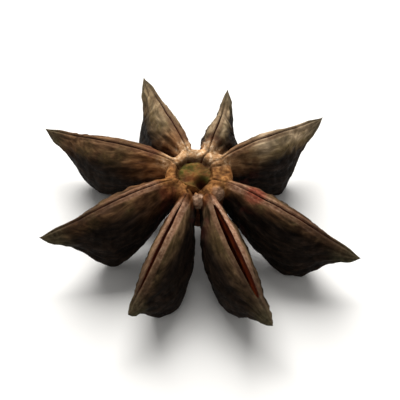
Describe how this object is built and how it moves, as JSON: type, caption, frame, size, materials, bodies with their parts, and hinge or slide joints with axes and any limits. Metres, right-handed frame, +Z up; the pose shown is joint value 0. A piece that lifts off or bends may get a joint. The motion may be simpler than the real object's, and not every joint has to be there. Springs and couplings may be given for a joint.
{
  "type": "star anise",
  "caption": "Dried star-shaped spice fruit of boat-shaped, split, wrinkled carpels round a short column, each with a loose glossy seed inside.",
  "frame": {"origin": "middle of the fruit's footprint, on the surface it lies on", "axes": "+Z up, through the crown, the way the split seams face; +X to the right and +Y away from the camera in the picture's view"},
  "size_m": [0.0316, 0.0324, 0.009],
  "materials": {
    "dried_rind": "dry, wrinkled, matt",
    "seed_coat": "smooth, glossy"
  },
  "bodies": {
    "root": {"pericarp": "dried_rind", "seed_1": "seed_coat", "seed_2": "seed_coat", "seed_3": "seed_coat", "seed_4": "seed_coat", "seed_5": "seed_coat", "seed_6": "seed_coat", "seed_7": "seed_coat", "seed_8": "seed_coat"}
  },
  "joints": []
}
